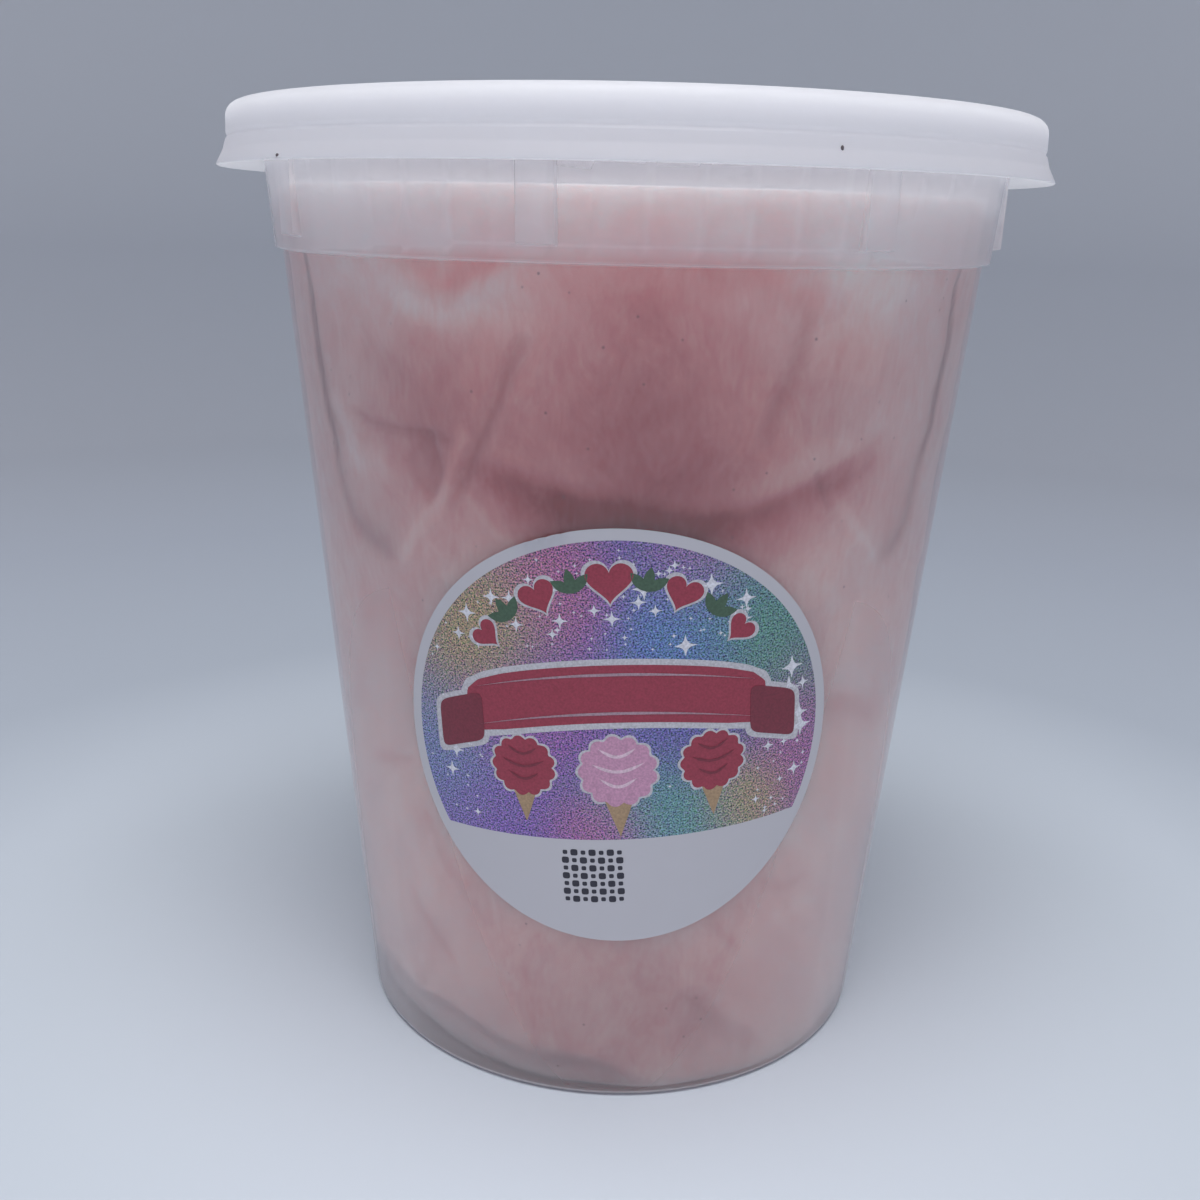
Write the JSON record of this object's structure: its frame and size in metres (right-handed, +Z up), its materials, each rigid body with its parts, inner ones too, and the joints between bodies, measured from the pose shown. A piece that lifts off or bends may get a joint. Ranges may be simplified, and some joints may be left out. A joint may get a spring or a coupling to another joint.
{
  "type": "tub of cotton candy",
  "caption": "Tapered clear plastic tub with a flared white press-on lid and a round paper label, filled to the lid with soft pink cotton candy.",
  "frame": {"origin": "middle of the foot, on the surface that the tub stands on", "axes": "+Z up along the tub's axis, -Y towards the front, where the label is"},
  "size_m": [0.126, 0.126, 0.145],
  "materials": {
    "tub_plastic": "thin see-through polypropylene with a slight milky haze, moulded and glossy",
    "lid_plastic": "natural white polyethylene, moulded satin",
    "label_paper": "satin coated sticker paper with a pastel print and a white border",
    "candy_floss": "pink spun sugar floss, fibrous, soft and matt"
  },
  "bodies": {
    "root": {"tub": "tub_plastic", "lid": "lid_plastic", "label": "label_paper", "cotton_candy": "candy_floss"}
  },
  "joints": []
}
